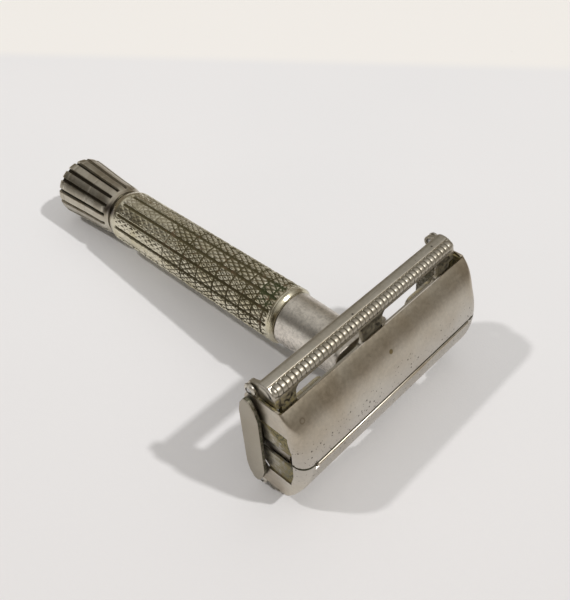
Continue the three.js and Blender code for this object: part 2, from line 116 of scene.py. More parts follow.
ROPE_HALF_LENGTH = 20.4
ROPE_CENTRE = (79.5, 11.92)
ROPE_RADIUS, BEAD_HEIGHT = 0.9, 0.15
END_WALL_FACES = (20.3, 21.2)
LUG_RADIUS = 1.1

# Doors
CROWN = 86.0
DOOR_ARC = 14.7
DOOR_HALF_LENGTH = 21.95
DOOR_EDGE = 10.25
DOOR_THICKNESS = 0.5
SEAM_GAP = 0.13
END_ROUND, EDGE_ROUND = 2.1, 0.6
SKIRT = [(0.0, 83.62), (5.3, 83.6), (5.72, 83.2), (5.8, 82.0), (5.87, 77.4), (6.3, 75.7), (7.0, 74.95), (9.0, 74.8),
         (9.6, 75.0), (10.1, 75.6)]
SKIRT_THICKNESS = 0.2
SEAM_NOTCH = 19.6
LIP_END, LIP_W, LIP_HALF_WIDTH, LIP_HALF_HEIGHT = 19.15, 0.68, 0.36, 0.36
RECESS_EDGE = (1.06, 1.16)
EAR_OUTLINE = [(83.4, 1.4), (83.4, 7.0), (82.4, 8.9), (81.8, 9.8), (77.3, 9.8), (76.9, 10.8), (75.1, 10.8),
               (74.85, 9.5), (75.1, 6.5), (75.35, 4.8), (75.45, 1.4)]
EAR_FACES = (21.28, 21.7)
PIVOT_U, PIVOT_W = 76.0, 10.9
KNUCKLE_RADIUS, KNUCKLE_BORE, KNUCKLE_FACES = 1.1, 0.62, (21.3, 22.05)
HINGE_PIN_ENDS = (20.3, 22.1)
OPENING_ANGLE = math.radians(60)
LIFT_TRAVEL = 3.0
DRIVE_PIN_U, DRIVE_PIN_W = 78.4, 7.9
CAM_RADIUS = 0.68

# End brackets
END_PLATE_FACES = (22.25, 23.0)
END_PLATE_CENTRE = 76.2
END_PLATE_TIP = [(-1.9, 6.4), (-1.5, 8.3), (-0.6, 9.8), (0.4, 9.8), (1.3, 8.2), (1.9, 6.2)]
SHELF_LOW, STRIP_THICKNESS, RISER, STRIP_HALF_WIDTH = 74.5, 0.7, 19.2, 4.3
FOOT_START, FOOT_HALF_WIDTH, FOOT_LOW, FOOT_HIGH, FOOT_CORNER = 10.2, 6.6, 78.75, 79.4, 1.6

# ------------------------------------------------------------------ materials

SATIN = (0.51, 0.48, 0.43)
SATIN_BROWN = (0.40, 0.355, 0.285)
OLIVE = (0.06, 0.049, 0.018)
GREEN = (0.038, 0.044, 0.013)
DARK_DIRT = (0.022, 0.016, 0.008)
STRAW = (0.40, 0.33, 0.15)
SOOT = (0.02, 0.018, 0.013)


class Surface:
    """A material under construction, with short ways to add its nodes."""

    def __init__(self, name):
        self.material = bpy.data.materials.new(name)
        self.material.use_nodes = True
        self.tree = self.material.node_tree
        self.shader = self.tree.nodes["Principled BSDF"]
        coordinates = self.tree.nodes.new("ShaderNodeTexCoord")
        self.position = self.node(
            "ShaderNodeVectorMath", "Vector", {0: coordinates.outputs["Object"], "Scale": 1 / MM}, operation="SCALE"
        )

    def node(self, kind, output, inputs, **settings):
        made = self.tree.nodes.new(kind)
        for key, value in settings.items():
            setattr(made, key, value)
        for key, value in inputs.items():
            socket = made.inputs[key]
            if isinstance(value, bpy.types.NodeSocket):
                self.tree.links.new(value, socket)
            else:
                socket.default_value = value
        return made.outputs[output]

    def math(self, operation, a, b=0.0, clamp=False):
        return self.node("ShaderNodeMath", "Value", {0: a, 1: b}, operation=operation, use_clamp=clamp)

    def mix(self, share, a, b):
        a, b = ((*x, 1.0) if isinstance(x, tuple) else x for x in (a, b))
        return self.node("ShaderNodeMix", 2, {0: share, 6: a, 7: b}, data_type="RGBA")

    def blend(self, share, a, b):
        return self.node("ShaderNodeMix", 0, {0: share, 2: a, 3: b}, data_type="FLOAT")

    def stretched(self, scale):
        return self.node("ShaderNodeVectorMath", "Vector", {0: self.position, 1: scale}, operation="MULTIPLY")

    def noise(self, scale, detail=3.0, vector=None, roughness=0.55, distortion=0.0):
        inputs = {"Vector": vector or self.position, "Scale": scale, "Detail": detail,
                  "Roughness": roughness, "Distortion": distortion}
        return self.node("ShaderNodeTexNoise", "Fac", inputs)

    def step(self, value, low, high):
        inputs = {"Value": value, "From Min": low, "From Max": high}
        return self.node("ShaderNodeMapRange", "Result", inputs, interpolation_type="SMOOTHSTEP")

    def attribute(self, name):
        return self.node("ShaderNodeAttribute", "Fac", {}, attribute_name=name)

    def spots(self, scale, size, cover):
        """Small round marks, of which the share cover is there."""
        cells = self.node("ShaderNodeTexVoronoi", "Distance", {"Vector": self.position, "Scale": scale})
        pick = self.node("ShaderNodeTexVoronoi", "Color", {"Vector": self.position, "Scale": scale})
        chosen = self.step(pick, 1 - cover, 1 - cover + 0.02)
        mark = self.step(cells, size, size * 0.45)
        return self.math("MULTIPLY", mark, chosen)

    def near(self, place, radius, softness=0.5):
        """One inside a ball around a place in the razor's axes, in millimetres, falling to nought outside."""
        centre = placed(place) / MM
        distance = self.node(
            "ShaderNodeVectorMath", "Value", {0: self.position, 1: tuple(centre)}, operation="DISTANCE"
        )
        return self.step(distance, radius, radius * (1 - softness))

    def finish(self, colour, roughness, metallic=1.0, height=None, bump=0.01):
        for socket, value in (("Base Color", colour), ("Roughness", roughness), ("Metallic", metallic)):
            if isinstance(value, bpy.types.NodeSocket):
                self.tree.links.new(value, self.shader.inputs[socket])
            else:
                self.shader.inputs[socket].default_value = (*value, 1.0) if isinstance(value, tuple) else value
        if height is not None:
            normal = self.node("ShaderNodeBump", "Normal", {"Height": height, "Distance": bump * MM, "Strength": 1.0})
            self.tree.links.new(normal, self.shader.inputs["Normal"])
        return self.material


def satin_base(surface, bright, brown, cloud=0.09):
    """The plate's slow drift between a grey and a browner tone, with fine mottling over it."""
    drift = surface.step(surface.noise(cloud, 2.0), 0.35, 0.7)
    fine = surface.noise(1.7, 5.0, roughness=0.65)
    colour = surface.mix(drift, bright, brown)
    shade = surface.node("ShaderNodeMapRange", "Result", {"Value": fine, "From Min": 0.3, "From Max": 0.7,
                                                         "To Min": 0.86, "To Max": 1.06})
    return surface.node("ShaderNodeVectorMath", "Vector", {0: colour, "Scale": shade}, operation="SCALE"), fine


def dirty(surface, colour, grime_and_shade, amount, fine):
    """Olive dirt where the grime attribute is high, broken up by noise. Gives colour, dirt share."""
    broken = surface.math("ADD", grime_and_shade, surface.math("MULTIPLY", surface.math("SUBTRACT", fine, 0.5), 0.9))
    share = surface.math("MULTIPLY", surface.step(broken, 0.35, 0.85), amount)
    patch = surface.step(surface.noise(0.35, 2.0), 0.42, 0.62)
    return surface.mix(share, colour, surface.mix(patch, OLIVE, GREEN)), share


def door_nickel():
    s = Surface("door_nickel")
    colour, fine = satin_base(s, (0.575, 0.53, 0.45), (0.47, 0.405, 0.31))
    lines = s.noise(1.0, 4.0, s.stretched((6.0, 0.25, 6.0)))
    low = s.attribute("seam")
    pits = s.math("MULTIPLY", s.spots(1.15, 0.22, 0.8), s.step(s.noise(0.3, 2.0), 0.38, 0.55))
    pits = s.math("MAXIMUM", pits, s.math("MULTIPLY", s.spots(1.9, 0.24, 0.5), 0.7))
    pits = s.math("MULTIPLY", pits, s.step(low, 0.15, 0.75))
    specks = s.spots(0.35, 0.09, 0.5)
    marks = s.math("MAXIMUM", pits, specks)
    stain = s.near((84.3, -0.3, 6.9), 0.5, 0.4)
    # Painted shade: no dent is shaped here; a darker ring stands in for the shade on a dent's wall.
    dent = s.near((83.6, -19.35, 8.0), 0.6, 0.3)
    dent_floor = s.near((83.6, -19.35, 8.0), 0.34, 0.4)
    colour = s.mix(s.math("MULTIPLY", low, 0.5), colour, (0.47, 0.455, 0.43))
    colour = s.mix(s.math("MULTIPLY", marks, 0.75), colour, SOOT)
    colour = s.mix(s.math("MULTIPLY", stain, 0.8), colour, (0.2, 0.14, 0.04))
    colour = s.mix(s.math("MULTIPLY", s.math("SUBTRACT", dent, dent_floor), 0.45), colour, (0.2, 0.15, 0.1))
    colour, dirt = dirty(s, colour, s.attribute("grime_and_shade"), 0.9, fine)
    rough = s.math("ADD", s.math("MULTIPLY", fine, 0.16), 0.21)
    rough = s.math("ADD", rough, s.math("MULTIPLY", lines, 0.06))
    rough = s.blend(s.math("MAXIMUM", marks, dirt), rough, 0.7)
    height = s.math("ADD", s.math("MULTIPLY", fine, 0.3), s.math("MULTIPLY", lines, 0.3))
    height = s.math("SUBTRACT", height, s.math("MULTIPLY", marks, 2.5))
    metal = s.math("SUBTRACT", 1.0, s.math("MULTIPLY", dirt, 0.8))
    return s.finish(colour, rough, metal, height, 0.008)


def guard_nickel(name="guard_nickel"):
    s = Surface(name)
    colour, fine = satin_base(s, (0.60, 0.565, 0.49), (0.53, 0.485, 0.40), 0.14)
    lines = s.noise(1.0, 4.0, s.stretched((7.0, 0.12, 7.0)), roughness=0.7)
    colour = s.mix(s.step(lines, 0.5, 0.8), colour, (0.34, 0.305, 0.245))
    colour = s.mix(s.math("MULTIPLY", s.attribute("matt"), 0.75), colour, (0.33, 0.295, 0.23))
    specks = s.spots(0.45, 0.12, 0.3)
    colour = s.mix(s.math("MULTIPLY", specks, 0.85), colour, SOOT)
    colour, dirt = dirty(s, colour, s.attribute("grime_and_shade"), 0.95, fine)
    straw = s.math("MULTIPLY", s.attribute("straw"), s.step(fine, 0.4, 0.55))
    colour = s.mix(straw, colour, STRAW)
    rough = s.math("ADD", s.math("MULTIPLY", fine, 0.18), 0.22)
    rough = s.math("ADD", rough, s.math("MULTIPLY", s.attribute("matt"), 0.2))
    rough = s.blend(s.math("MAXIMUM", straw, dirt), rough, 0.72)
    height = s.math("ADD", s.math("MULTIPLY", fine, 0.4), s.math("MULTIPLY", lines, 0.7))
    metal = s.math("SUBTRACT", 1.0, s.math("MULTIPLY", s.math("MAXIMUM", straw, dirt), 0.85))
    return s.finish(colour, rough, metal, height, 0.008)


def neck_nickel():
    s = Surface("neck_nickel")
    colour, fine = satin_base(s, (0.84, 0.79, 0.71), (0.74, 0.69, 0.61), 0.2)
    mottle = s.noise(1.3, 8.0, roughness=0.8, distortion=0.6)
    # Painted shade: the dark mottling of wear is laid on much more strongly along the tube's lower side.
    wear_and_lower_shade = s.math("ADD", s.math("MULTIPLY", s.attribute("grime_and_shade"), 0.65), 0.3)
    colour = s.mix(s.math("MULTIPLY", s.step(mottle, 0.42, 0.62), wear_and_lower_shade), colour, (0.16, 0.14, 0.115))
    rough = s.math("ADD", s.math("MULTIPLY", mottle, 0.28), 0.24)
    height = s.math("ADD", s.math("MULTIPLY", mottle, 0.8), s.math("MULTIPLY", fine, 0.4))
    return s.finish(colour, rough, 1.0, height, 0.006)


def knob_nickel():
    s = Surface("knob_nickel")
    colour, fine = satin_base(s, (0.58, 0.54, 0.455), (0.46, 0.41, 0.32), 0.2)
    stain = s.near((15.6, -4.0, 3.3), 1.7, 0.8)
    colour = s.mix(s.math("MULTIPLY", stain, 0.8), colour, (0.05, 0.03, 0.025))
    dirt = s.step(s.attribute("grime_and_shade"), 0.3, 0.75)
    colour = s.mix(dirt, colour, DARK_DIRT)
    rough = s.math("ADD", s.math("MULTIPLY", fine, 0.2), 0.22)
    rough = s.blend(dirt, rough, 0.8)
    metal = s.math("SUBTRACT", 1.0, s.math("MULTIPLY", dirt, 0.9))
    return s.finish(colour, rough, metal, fine, 0.006)


def knurled_nickel():
    s = Surface("knurled_nickel")
    colour, fine = satin_base(s, (0.80, 0.75, 0.60), (0.66, 0.60, 0.43), 0.25)
    grime_and_shade, green = s.attribute("grime_and_shade"), s.attribute("green")
    broken = s.math("ADD", grime_and_shade, s.math("MULTIPLY", s.math("SUBTRACT", s.noise(2.2, 4.0), 0.5), 0.8))
    share = s.step(broken, 0.42, 0.88)
    patch = s.step(s.math("ADD", green, s.math("SUBTRACT", s.noise(0.5, 3.0), 0.5)), 0.45, 0.9)
    dirt_colour = s.mix(patch, OLIVE, GREEN)
    dirt_colour = s.mix(s.step(s.noise(0.9, 3.0), 0.55, 0.75), dirt_colour, (0.13, 0.085, 0.045))
    film = s.math("MULTIPLY", s.step(s.noise(0.45, 3.0), 0.35, 0.65), 0.28)
    colour = s.mix(film, colour, (0.22, 0.2, 0.11))
    stain = s.near((17.0, -4.2, 3.4), 1.9, 0.8)
    colour = s.mix(s.math("MULTIPLY", stain, 0.9), colour, (0.05, 0.03, 0.025))
    colour = s.mix(share, colour, dirt_colour)
    rough = s.blend(share, s.math("ADD", s.math("MULTIPLY", fine, 0.2), 0.13), 0.7)
    metal = s.math("SUBTRACT", 1.0, s.math("MULTIPLY", share, 0.85))
    return s.finish(colour, rough, metal, fine, 0.01)


def plain_metal(name, bright, dull, roughness):
    s = Surface(name)
    colour, fine = satin_base(s, bright, dull, 0.3)
    rough = s.math("ADD", s.math("MULTIPLY", fine, 0.2), roughness)
    return s.finish(colour, rough, 1.0, fine, 0.005)


def floor_paper():
    """Matt white paper with painted shade that makes it a touch darker towards the camera, and the edge of a creamier
    sheet far behind.
    """
    s = Surface("floor_paper")
    cloud = s.step(s.noise(0.012, 2.0), 0.3, 0.7)
    colour = s.mix(cloud, (0.822, 0.824, 0.842), (0.838, 0.837, 0.853))
    split = s.tree.nodes.new("ShaderNodeSeparateXYZ")
    s.tree.links.new(s.position, split.inputs[0])
    behind = s.math("SUBTRACT", split.outputs["Y"], s.math("MULTIPLY", split.outputs["X"], 0.876))
    # Painted shade: the paper darkens towards the camera.
    colour = s.mix(s.step(behind, -150, 60), (0.787, 0.778, 0.79), colour)
    colour = s.mix(s.step(behind, 119, 127), colour, (0.9, 0.885, 0.865))
    speck = s.math("MULTIPLY", s.spots(0.12, 0.05, 0.25), 0.12)
    colour = s.mix(speck, colour, (0.45, 0.42, 0.38))
    return s.finish(colour, 0.85, 0.0, s.noise(2.5, 4.0), 0.02)


MATERIALS = {
    "door_nickel": door_nickel(),
    "guard_nickel": guard_nickel(),
    "neck_nickel": neck_nickel(),
    "knob_nickel": knob_nickel(),
    "knurled_nickel": knurled_nickel(),
    "inner_nickel": plain_metal("inner_nickel", SATIN, SATIN_BROWN, 0.24),
    "brass": plain_metal("brass", (0.62, 0.45, 0.2), (0.42, 0.3, 0.14), 0.3),
    "steel": plain_metal("steel", (0.5, 0.49, 0.47), (0.36, 0.34, 0.31), 0.22),
}

# ------------------------------------------------------------------ mesh tools


def piece(name, points, faces, body, slot, replaces=(), marks=None, sharp=35, bevel=0.0, segments=2):
    """A smooth-shaded mesh piece from razor millimetres, on its body, with its material and its marks per vertex."""
    mesh = bpy.data.meshes.new(name)
    mesh.from_pydata(placed(points).tolist(), [], [list(face) for face in faces])
    work = bmesh.new()
    work.from_mesh(mesh)
    bmesh.ops.recalc_face_normals(work, faces=work.faces)
    if bevel:
        edges = [e for e in work.edges if e.is_manifold and e.calc_face_angle(0) > math.radians(sharp)]
        bmesh.ops.bevel(work, geom=edges, offset=bevel * MM, segments=segments, affect="EDGES",
                        clamp_overlap=True, profile=0.5)
    work.to_mesh(mesh)
    work.free()
    mesh.shade_smooth()
    mesh.set_sharp_from_angle(angle=math.radians(sharp))
    for mark, values in (marks or {}).items():
        if len(values) == len(mesh.vertices):
            mesh.attributes.new(mark, "FLOAT", "POINT").data.foreach_set("value", np.asarray(values, np.float32))
    made = bpy.data.objects.new(name, mesh)
    bpy.context.scene.collection.objects.link(made)
    made.data.materials.append(MATERIALS[slot])
    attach(made, body)
    if replaces:
        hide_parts(*replaces)
    return made


def mark_vertices(made, name, rule):
    """A float mark on each vertex of a finished piece, from its place in razor millimetres."""
    count = len(made.data.vertices)
    flat = np.empty(count * 3)
    made.data.vertices.foreach_get("co", flat)
    local = (flat.reshape(-1, 3) - np.array(ORIGIN)) @ np.linalg.inv(BASIS)
    values = rule(local[:, 0], local[:, 1], local[:, 2])
    made.data.attributes.new(name, "FLOAT", "POINT").data.foreach_set("value", np.asarray(values, np.float32))


def grid_faces(rows, columns, closed_columns=False, closed_rows=False):
    faces = []
    for i in range(rows if closed_rows else rows - 1):
        for j in range(columns if closed_columns else columns - 1):
            i2, j2 = (i + 1) % rows, (j + 1) % columns
            faces.append((i * columns + j, i * columns + j2, i2 * columns + j2, i2 * columns + j))
    return faces


def ramp(value, low, high):
    share = np.clip((np.asarray(value, float) - low) / (high - low), 0, 1)
    return share * share * (3 - 2 * share)


def fillet(points, radius, steps=5):
    """A closed outline with its corners rounded as far as the sides allow."""
    made = []
    count = len(points)
    for i in range(count):
        before, corner, after = (Vector(points[(i + k) % count]) for k in (-1, 0, 1))
        to_before, to_after = before - corner, after - corner
        angle = to_before.angle(to_after)
        reach = min(radius / math.tan(angle / 2), to_before.length * 0.48, to_after.length * 0.48)
        if angle > math.radians(172):
            made.append(tuple(corner))
            continue
        start = corner + to_before.normalized() * reach
        end = corner + to_after.normalized() * reach
        for k in range(steps + 1):
            t = k / steps
            made.append(tuple(start * (1 - t) ** 2 + corner * 2 * t * (1 - t) + end * t * t))
    return made


def smooth_path(points, per_span=4):
    """A Catmull-Rom curve through the points."""
    ends = [points[0], *points, points[-1]]
    made = []
    for i in range(len(points) - 1):
        p0, p1, p2, p3 = (np.array(ends[i + k], float) for k in range(4))
        for k in range(per_span):
            t = k / per_span
            made.append(tuple(0.5 * (2 * p1 + (p2 - p0) * t + (2 * p0 - 5 * p1 + 4 * p2 - p3) * t * t
                                     + (3 * p1 - p0 - 3 * p2 + p3) * t ** 3)))
    return [*made, tuple(points[-1])]


def rounded_box(half_x, half_y, corner, x=0.0, y=0.0, steps=6):
    box = [(x - half_x, y - half_y), (x + half_x, y - half_y), (x + half_x, y + half_y), (x - half_x, y + half_y)]
    return fillet(box, corner, steps)


def plate(outline, holes, thickness, bevel=0.08, steps=2):
    """Vertices and faces of a flat plate with bevelled edges, drawn in x and y and centred on z = 0."""
    curve = bpy.data.curves.new("outline", "CURVE")
    curve.dimensions = "2D"
    curve.fill_mode = "BOTH"
    curve.extrude = thickness / 2 - bevel
    curve.bevel_depth = bevel
    curve.bevel_resolution = steps
    curve.offset = -bevel
    for ring in [outline, *holes]:
        spline = curve.splines.new("POLY")
        spline.points.add(len(ring) - 1)
        for point, (x, y) in zip(spline.points, ring):
            point.co = (x, y, 0, 1)
        spline.use_cyclic_u = True
    holder = bpy.data.objects.new("outline", curve)
    bpy.context.scene.collection.objects.link(holder)
    bpy.context.view_layer.update()
    mesh = bpy.data.meshes.new_from_object(holder.evaluated_get(bpy.context.evaluated_depsgraph_get()))
    work = bmesh.new()
    work.from_mesh(mesh)
    bmesh.ops.remove_doubles(work, verts=work.verts, dist=0.001)
    work.verts.index_update()
    points = [tuple(vertex.co) for vertex in work.verts]
    faces = [[vertex.index for vertex in face.verts] for face in work.faces]
    work.free()
    bpy.data.objects.remove(holder)
    bpy.data.curves.remove(curve)
    bpy.data.meshes.remove(mesh)
    return points, faces


def merged(*parts):
    """Several (points, faces) pairs as one."""
    points, faces = [], []
    for part_points, part_faces in parts:
        faces += [[index + len(points) for index in face] for face in part_faces]
        points += list(part_points)
    return points, faces


def plate_along_v(outline, holes, low, high, bevel=0.08):
    points, faces = plate(outline, holes, high - low, bevel)
    return [(x, z + (low + high) / 2, y) for x, y, z in points], faces


def plate_along_u(outline, holes, low, high, bevel=0.08):
    points, faces = plate(outline, holes, high - low, bevel)
    return [(z + (low + high) / 2, x, y) for x, y, z in points], faces


def lathe(profile, columns=96, centre=(0.0, 0.0), along="u"):
    """A turned solid from closed (distance along, radius) points, around the u axis or one parallel to v."""
    points = []
    for along_axis, radius in profile:
        for j in range(columns):
            angle = 2 * math.pi * j / columns
            x, y = radius * math.sin(angle), radius * math.cos(angle)
            if along == "u":
                points.append((along_axis, centre[0] + x, centre[1] + y))
            else:
                points.append((centre[0] + x, along_axis, centre[1] + y))
    return points, grid_faces(len(profile), columns, closed_columns=True, closed_rows=True)


def across_side(side, low, high):
    return (low, high) if side > 0 else (-high, -low)


# ------------------------------------------------------------------ knob


def twist_knob():
    half_pitch = math.pi / RIBS
    offsets = [0.0, 0.14, 0.24, 0.29, 0.33, 0.37, 0.41, 0.46, 0.56, 0.72, 0.9]
    half = [x / BARREL_RADIUS for x in offsets]
    across = sorted({*half, *(-x for x in half), half_pitch})
    angles = np.array([math.radians(RIB_PHASE) + rib * 2 * half_pitch + x for rib in range(RIBS) for x in across])
    to_groove = np.tile(np.abs(across), RIBS) * BARREL_RADIUS
    mask = 1 - ramp(to_groove, GROOVE_HALF_WIDTH - 0.09, GROOVE_HALF_WIDTH + 0.09)

    stations = [0.0, 0.06, 0.12, 0.22, 0.35, 0.5, 0.7, 0.95, 1.3]
    for line in TURNED_LINES:
        stations += [line - 0.14, line - 0.06, line, line + 0.06, line + 0.14]
    stations += list(np.arange(3.0, 13.0, 0.8)) + list(np.arange(13.0, 15.6, 0.13)) + [KNOB_LENGTH]
    stations = sorted(set(np.round(stations, 3)))
    profile_u, profile_r = zip(*KNOB_PROFILE)
    rows = [(np.full_like(angles, 0.3), np.full_like(angles, KNOB_FACE_RADIUS), np.zeros_like(angles)),
            (np.zeros_like(angles), np.full_like(angles, KNOB_FACE_RADIUS), np.zeros_like(angles))]
    for u in stations:
        top = np.interp(u, profile_u, profile_r)
        top -= sum(0.05 * math.exp(-(((u - line) / 0.07) ** 2)) for line in TURNED_LINES)
        floor = np.interp(u, (0, GROOVE_END), GROOVE_FLOOR)
        depth = max(0.0, top - floor) * math.sqrt(max(0.0, 1 - max(0.0, (u - GROOVE_END + 1.0) / 1.0) ** 2))
        line_dirt = max(0.55 * math.exp(-(((u - line) / 0.09) ** 2)) for line in TURNED_LINES)
        rows.append((np.full_like(angles, u), top - mask * depth, np.maximum(mask * min(1, depth / 0.25), line_dirt)))
    for u, radius in ((KNOB_LENGTH, KNOB_BORE), (8.0, KNOB_BORE), (8.0, 0.05), (0.3, 0.05)):
        rows.append((np.full_like(angles, u), np.full_like(angles, radius), np.zeros_like(angles)))
    points = np.concatenate([np.stack([u, -r * np.sin(angles), r * np.cos(angles)], 1) for u, r, _ in rows])
    grime_and_shade = np.concatenate([dirt for _, _, dirt in rows])
    waist = ramp(points[:, 0], 14.6, 15.6)
    made = piece("twist_knob_ribbed", points, grid_faces(len(rows), len(angles), True, True), "knob",
                 "knob_nickel", ["twist_knob"], {"grime_and_shade": np.maximum(grime_and_shade, 0.2 * waist)}, sharp=40)
    return made


# ------------------------------------------------------------------ handle


def knurl(angles, u):
    """Height share of the diamond knurl, one on the tops and nought in its crossing grooves."""
    a = angles * KNURL_AROUND / (2 * math.pi)
    b = (u - KNURL_START) / KNURL_PITCH
    height = np.ones_like(angles)
    for t in (a + b, a - b):
        away = np.abs(t - np.round(t))
        height = np.minimum(height, ramp(away, 0.02, 0.25))
    return height


def handle_barrel():
    columns = KNURL_AROUND * COLUMNS_PER_DIAMOND
    angles = np.arange(columns) * 2 * math.pi / columns
    flute_step = 2 * math.pi / FLUTES
    shifted = (angles - math.radians(FLUTE_PHASE)) / flute_step
    to_flute = np.abs(shifted - np.round(shifted)) * flute_step * BARREL_RADIUS
    flute = 1 - ramp(to_flute, FLUTE_HALF_WIDTH - 0.2, FLUTE_HALF_WIDTH + 0.06)

    rows, grime_and_shade, green = [], [], []

    def add_row(u, radius, dirt, tint):
        rows.append(np.stack([np.full(columns, u), -radius * np.sin(angles), radius * np.cos(angles)], 1))
        grime_and_shade.append(np.broadcast_to(dirt, columns))
        green.append(np.broadcast_to(tint, columns))

    smooth_start = [(BARREL_START, 2.6, 0.6), (BARREL_START, 4.5, 0.6), (BARREL_START + 0.05, 4.64, 0.4),
                    (BARREL_START + 0.2, 4.76, 0.2), (16.9, 4.98, 0.0), (17.5, 5.2, 0.0), (17.9, 5.32, 0.0),
                    (18.2, 5.38, 0.0), (18.4, 5.4, 0.1)]
    for u, radius, dirt in smooth_start:
        add_row(u, radius, dirt, 0.0)
    for u in np.arange(KNURL_START, KNURL_END, KNURL_ROW):
        fade = ramp(u, KNURL_START, KNURL_START + 0.8) * (1 - ramp(u, KNURL_END - 0.4, KNURL_END))
        wear = np.array([noise.noise(Vector((u * 0.22, math.sin(a) * 1.3, math.cos(a) * 1.3))) for a in angles])
        deep = np.clip(0.5 + 0.75 * ramp(u, 22, 46) + 0.55 * wear, 0.25, 1.35)
        cut = (1 - knurl(angles + 0.012 * math.sin(u * 0.8), u)) * deep
        ring = max(math.exp(-(((u - place) / 0.22) ** 2)) for place in KNURL_RINGS)
        ring_depth = ring * (0.35 + 0.65 * ramp(u, 24, 42))
        drop = KNURL_DEPTH * cut * (1 - flute)
        drop = np.maximum(drop, 0.24 * ring_depth * (1 - flute))
        drop = np.maximum(drop, FLUTE_DEPTH * flute)
        dirt = np.maximum(cut * 0.95, np.maximum(flute * 1.2, ring_depth * 1.3))
        tint = ramp(u, 55, 59) * ramp(np.cos(angles - math.radians(15)), 0.75, 0.95)
        add_row(u, BARREL_RADIUS - 0.02 - drop * fade, dirt * fade, tint)
    for u, radius, dirt in ((61.55, 5.34, 0.5), (61.62, 5.4, 0.1), (61.85, 5.4, 0.0), (61.93, 5.33, 0.5), (61.98, 5.33, 0.5),
                            (62.06, 5.4, 0.0), (62.22, 5.4, 0.0), (62.27, 5.36, 0.4), (62.33, 5.38, 0.0),
                            (62.45, 5.3, 0.0), (62.8, 4.98, 0.0), (BARREL_END, 4.9, 0.5), (BARREL_END, BARREL_BORE, 0.8),
                            (17.1, BARREL_BORE, 0.0), (17.1, 2.6, 0.0)):
        add_row(u, radius, dirt, 0.3)
    points = np.concatenate(rows)
    marks = {"grime_and_shade": np.concatenate(grime_and_shade), "green": np.concatenate(green)}
    return piece("handle_barrel_knurled", points, grid_faces(len(rows), columns, True, True), "handle",
                 "knurled_nickel", ["handle_barrel"], marks, sharp=60)


def neck_tube():
    profile = [(56.0, NECK_BORE), (56.0, 3.7), (NECK_START, 3.7), (NECK_START, 4.78), (NECK_START + 0.1, NECK_RADIUS)]
    steps = 12
    for step in range(1, steps + 1):
        share = step / steps
        profile.append((NECK_START + 0.1 + share * (NECK_END - NECK_START - 0.1),
                        NECK_RADIUS + share * (NECK_TOP_RADIUS - NECK_RADIUS)))
    profile.append((NECK_END, NECK_BORE))
    points, faces = lathe(profile, 128)
    # Painted shade: the tube's lower side is marked for darker mottling.
    shaded = [ramp(-w, -1.5, 2.5) for u, v, w in points]
    return piece("neck_tube_turned", points, faces, "handle", "neck_nickel", ["neck_tube"], {"grime_and_shade": shaded})


def neck_flange():
    outline = rounded_box(FLANGE_HALF_LENGTH, FLANGE_HALF_WIDTH, FLANGE_CORNER)
    hole = [(1.6 * math.sin(a), 1.6 * math.cos(a)) for a in np.linspace(0, 2 * math.pi, 33)[:-1]]
    points, faces = plate_along_u(outline, [hole], FLANGE_LOW, FLANGE_HIGH, 0.12)
    made = piece("neck_flange_plate", points, faces, "handle", "neck_nickel", ["neck_flange"])
    return made


# ------------------------------------------------------------------ guard


def guard_plate():
    half = GUARD_HALF_LENGTH - 0.05
    edge = 11.05
    quarter = [(half, edge), (half, NOTCH_HALF_WIDTH), (NOTCH_START, NOTCH_HALF_WIDTH)]
    outline = [*quarter, *[(v, -w) for v, w in reversed(quarter)], *[(-v, -w) for v, w in quarter],
               *[(-v, w) for v, w in reversed(quarter)]]
    holes = []
    for side in (-1, 1):
        for level in (-1, 1):
            v, w = side * (SLOT_INNER + SLOT_OUTER) / 2, level * (SLOT_LOW + SLOT_HIGH) / 2
            holes.append(rounded_box((SLOT_OUTER - SLOT_INNER) / 2, (SLOT_HIGH - SLOT_LOW) / 2, SLOT_CORNER, v, w))
    holes.append([(1.6 * math.sin(a), 1.6 * math.cos(a)) for a in np.linspace(0, 2 * math.pi, 33)[:-1]])
    thickness = 0.85
    points, faces = plate(outline, holes, thickness, 0.1)
    shaped = []
    for v, w, z in points:
        top = np.interp(abs(w), [p[1] for p in GUARD_TOP], [p[0] for p in GUARD_TOP])
        bottom = np.interp(abs(w), [p[1] for p in GUARD_BOTTOM], [p[0] for p in GUARD_BOTTOM])
        shaped.append(((top + bottom) / 2 + z * (top - bottom) / thickness, v, w))
    boss, boss_faces = lathe([(78.4, 1.6), (78.4, 4.1), (78.5, 4.2), (80.2, 4.2), (80.2, 1.6)], 64)
    made = piece("guard_web", *merged((shaped, faces), (boss, boss_faces)), "handle", "guard_nickel", ["guard_plate"])
    return made


def guard_dirt(u, v, w):
    reach = np.abs(v)
    corner = ramp(reach, 16.6, 17.4) * ramp(np.abs(w), 5.5, 7.5)
    web = (1 - ramp(reach, 1.8, 3.4)) * ramp(np.abs(w), 6.0, 8.0)
    edge = ramp(np.abs(w), 9.9, 10.5) * (1 - ramp(np.abs(w), 10.9, 11.3))
    return np.clip(np.maximum(np.maximum(corner * 0.15, web * 0.25), edge * 0.35), 0, 1)


